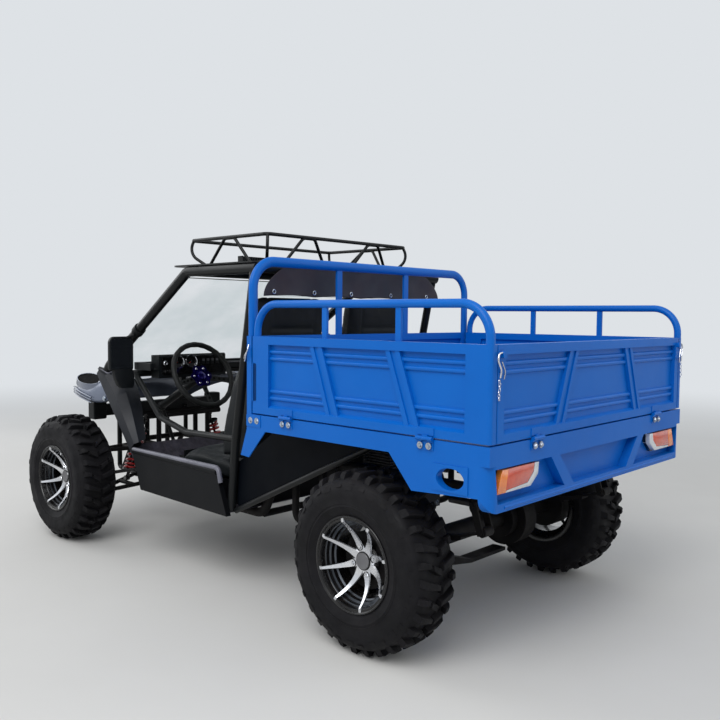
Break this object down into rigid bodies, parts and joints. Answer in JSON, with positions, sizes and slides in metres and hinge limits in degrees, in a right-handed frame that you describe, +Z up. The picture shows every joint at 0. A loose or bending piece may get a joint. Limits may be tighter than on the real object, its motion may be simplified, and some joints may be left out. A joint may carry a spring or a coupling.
{
  "type": "open two-seat utility buggy with a drop-side cargo bed",
  "caption": "Open two-seat utility buggy with a blue drop-side cargo bed, roll cage, roof rack and mud tyres.",
  "frame": {"origin": "on the ground under the middle of the vehicle's bounding box", "axes": "+X forward, +Y to the driver's left, +Z up"},
  "size_m": [3.005, 1.519, 1.51],
  "materials": {
    "painted": "satin",
    "frame_black": "satin",
    "steel": "satin",
    "spring_red": "gloss",
    "cast": "matte",
    "rubber_tyre": "matte",
    "alloy": "gloss",
    "cowl": "gloss",
    "plastic": "matte",
    "seat_vinyl": "satin",
    "canvas": "matte",
    "clear": "gloss",
    "lamp_red": "gloss"
  },
  "bodies": {
    "chassis": {"bed_headboard": "painted", "bed_base": "painted", "rear_bumper": "painted", "chassis_frame": "frame_black", "roll_cage": "frame_black", "sills": "frame_black", "floor_pan": "frame_black", "firewall": "frame_black", "mudguards": "frame_black", "front_beam": "frame_black", "front_bumper": "frame_black", "roof_panel": "frame_black", "roof_rack": "frame_black", "front_arms": "frame_black", "rear_axle": "frame_black", "steering_column": "frame_black", "seat_frames": "frame_black", "pedals": "frame_black", "leaf_springs": "steel", "drive_shaft": "steel", "front_shocks": "spring_red", "engine": "cast", "bonnet": "cowl", "knee_fairings": "cowl", "dash": "plastic", "mirrors": "plastic", "centre_console": "plastic", "light_bar": "plastic", "seat_base_left": "seat_vinyl", "seat_base_right": "seat_vinyl", "seat_back_left": "seat_vinyl", "seat_back_right": "seat_vinyl", "rear_canvas": "canvas", "windscreen": "clear", "headlamps": "clear", "tail_lamps": "lamp_red"},
    "wheel_rear_left": {"tyre_rear_left": "rubber_tyre", "rim_rear_left": "alloy"},
    "wheel_rear_right": {"tyre_rear_right": "rubber_tyre", "rim_rear_right": "alloy"},
    "wheel_front_left": {"tyre_front_left": "rubber_tyre", "rim_front_left": "alloy"},
    "wheel_front_right": {"tyre_front_right": "rubber_tyre", "rim_front_right": "alloy"},
    "knuckle_left_body": {"knuckle_left": "steel"},
    "knuckle_right_body": {"knuckle_right": "steel"},
    "tie_rod_body": {"tie_rod": "steel"},
    "steering_wheel_body": {"steering_wheel": "plastic"},
    "side_left_body": {"bed_side_left": "painted"},
    "side_right_body": {"bed_side_right": "painted"},
    "tailgate_body": {"tailgate": "painted"}
  },
  "joints": [
    {"name": "spin_rear_left", "type": "hinge", "parent": "chassis", "child": "wheel_rear_left", "pos_m": [-0.9425, 0.619, 0.3175], "axis": [0, 1, 0], "continuous": true},
    {"name": "spin_rear_right", "type": "hinge", "parent": "chassis", "child": "wheel_rear_right", "pos_m": [-0.9425, -0.619, 0.3175], "axis": [0, 1, 0], "continuous": true},
    {"name": "spin_front_left", "type": "hinge", "parent": "knuckle_left_body", "child": "wheel_front_left", "pos_m": [1.1305, 0.655, 0.3175], "axis": [0, 1, 0], "continuous": true},
    {"name": "spin_front_right", "type": "hinge", "parent": "knuckle_right_body", "child": "wheel_front_right", "pos_m": [1.1305, -0.655, 0.3175], "axis": [0, 1, 0], "continuous": true},
    {"name": "steer_left", "type": "hinge", "parent": "chassis", "child": "knuckle_left_body", "pos_m": [1.1305, 0.555, 0.3175], "axis": [0, 0, 1], "range_deg": [-28, 28]},
    {"name": "steer_right", "type": "hinge", "parent": "chassis", "child": "knuckle_right_body", "pos_m": [1.1305, -0.555, 0.3175], "axis": [0, 0, 1], "range_deg": [-29, 29]},
    {"name": "rack_slide", "type": "slide", "parent": "chassis", "child": "tie_rod_body", "axis": [0, 1, 0], "range_m": [-0.06, 0.06]},
    {"name": "steering_wheel_turn", "type": "hinge", "parent": "chassis", "child": "steering_wheel_body", "pos_m": [0.4675, 0.3, 0.865], "axis": [-0.891, 0, 0.454], "range_deg": [-254, 254]},
    {"name": "side_left_drop", "type": "hinge", "parent": "chassis", "child": "side_left_body", "pos_m": [-0.9425, 0.715, 0.785], "axis": [-1, 0, 0], "range_deg": [0, 170]},
    {"name": "side_right_drop", "type": "hinge", "parent": "chassis", "child": "side_right_body", "pos_m": [-0.9425, -0.715, 0.785], "axis": [1, 0, 0], "range_deg": [0, 170]},
    {"name": "tailgate_drop", "type": "hinge", "parent": "chassis", "child": "tailgate_body", "pos_m": [-1.4955, 0, 0.785], "axis": [0, -1, 0], "range_deg": [0, 175]}
  ],
  "couplings": [
    {"joint": "steer_right", "follows": "steer_left", "ratio": 1},
    {"joint": "rack_slide", "follows": "steer_left", "m_per_rad": -0.105},
    {"joint": "steering_wheel_turn", "follows": "steer_left", "ratio": 9}
  ]
}
